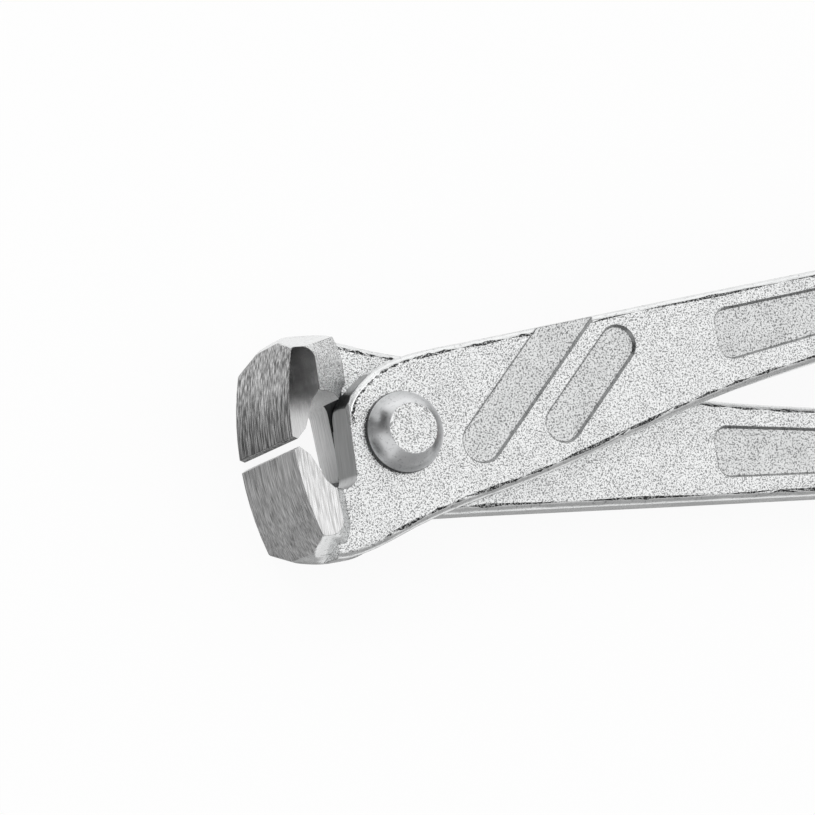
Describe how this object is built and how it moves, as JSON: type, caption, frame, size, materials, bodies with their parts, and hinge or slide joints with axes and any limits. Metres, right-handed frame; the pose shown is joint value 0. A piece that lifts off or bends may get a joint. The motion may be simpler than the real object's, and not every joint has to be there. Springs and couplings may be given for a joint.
{
  "type": "rebar tying pliers",
  "caption": "Long-handled end nippers for tying and cutting tie wire: forged levers crossed in a riveted lap joint, broad flush-ground jaws, dipped grips.",
  "frame": {"origin": "on the pivot axis, on the flat of the lower rivet head; the jaws' lower cheeks are level with it", "axes": "+X along the tool from the jaws to the handles, +Z along the pivot axis, +Y to the front lever's handle"},
  "size_m": [0.2993, 0.0724, 0.025],
  "materials": {
    "forged_steel": "bright zinc-plated forging with a fine pebbled skin; jaw fronts and cheeks ground",
    "rivet_steel": "zinc-plated, satin",
    "dipped_plastic": "dipped soft plastic, smooth, slightly glossy"
  },
  "bodies": {
    "rear_half": {"rear_lever": "forged_steel", "pivot_rivet": "rivet_steel", "rear_grip": "dipped_plastic"},
    "front_half": {"front_lever": "forged_steel", "front_grip": "dipped_plastic"}
  },
  "joints": [
    {"name": "pivot", "type": "hinge", "parent": "rear_half", "child": "front_half", "pos_m": [0, 0, 0.0125], "axis": [0, 0, 1], "range_deg": [-3.25, 32]}
  ]
}
